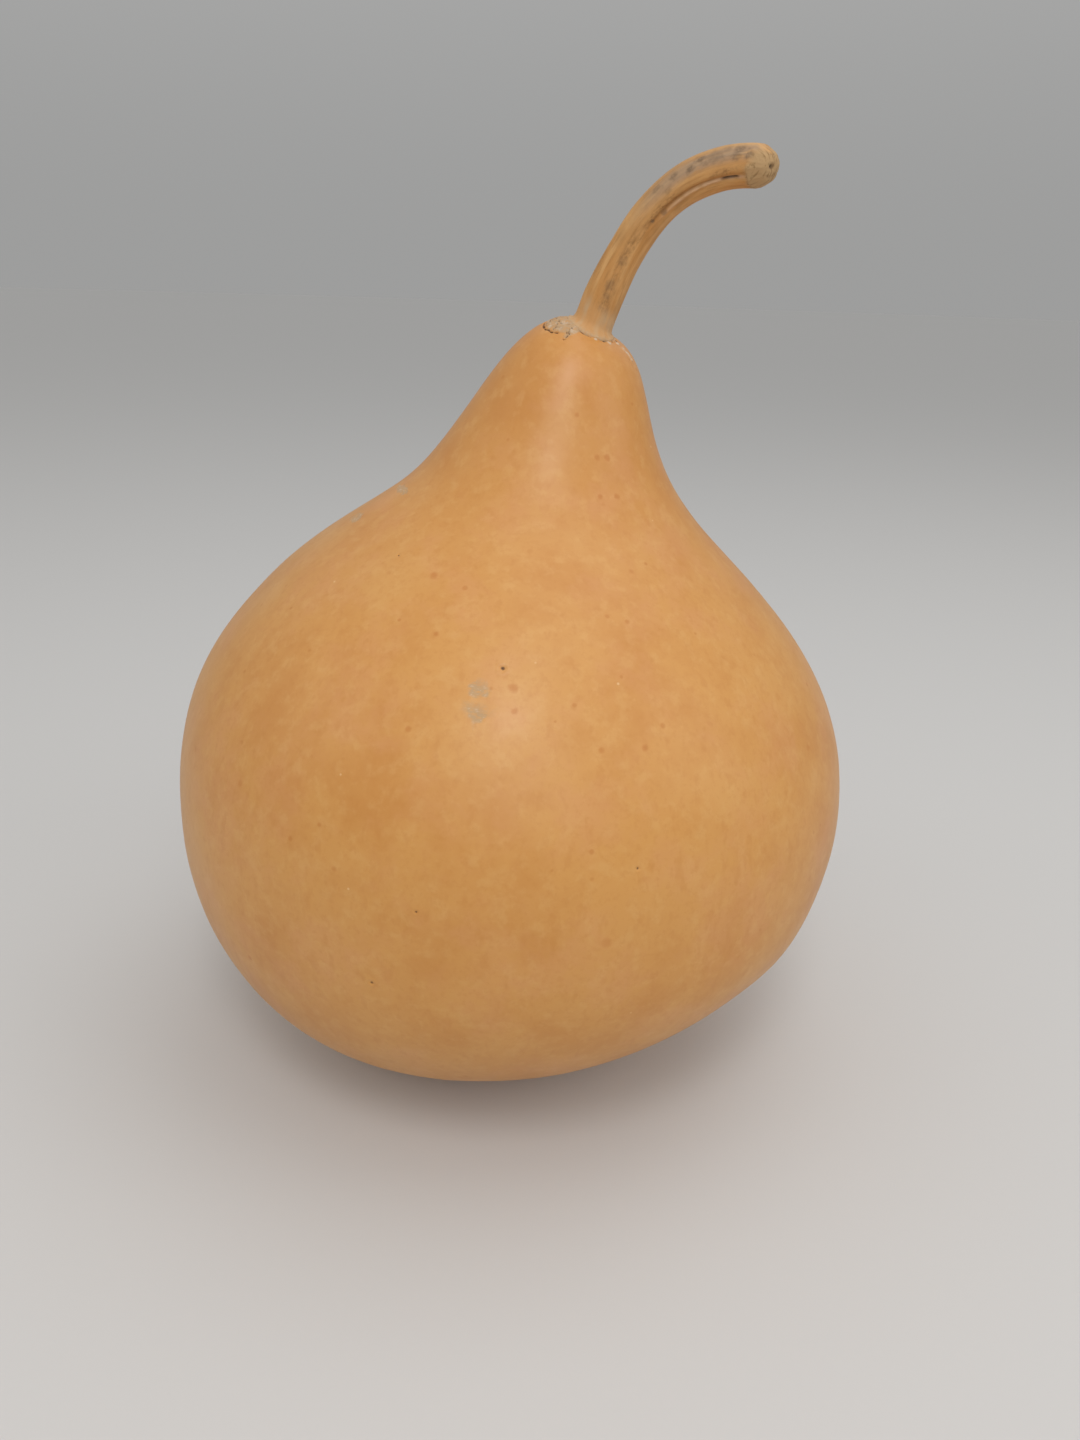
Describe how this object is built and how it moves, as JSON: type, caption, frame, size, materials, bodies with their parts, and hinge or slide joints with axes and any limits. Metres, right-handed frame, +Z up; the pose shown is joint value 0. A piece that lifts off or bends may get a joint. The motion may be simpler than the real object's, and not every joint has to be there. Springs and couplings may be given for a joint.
{
  "type": "calabash",
  "caption": "Dried calabash gourd with a round belly, a short neck and a curved cut stalk, resting on a small flat spot.",
  "frame": {"origin": "middle of the flat spot under the belly, which the fruit rests on", "axes": "+Z up as it stands, +X towards the side that the stalk curls to, -Y the front"},
  "size_m": [0.2001, 0.2, 0.2601],
  "materials": {
    "gourd_skin": "smooth waxy satin rind, tan orange with faint clouding and brown freckles",
    "dry_stalk": "dry ribbed stalk, matt, with grey black weathering and a pale fibrous cut end"
  },
  "bodies": {
    "root": {"gourd": "gourd_skin", "stem": "dry_stalk"}
  },
  "joints": []
}
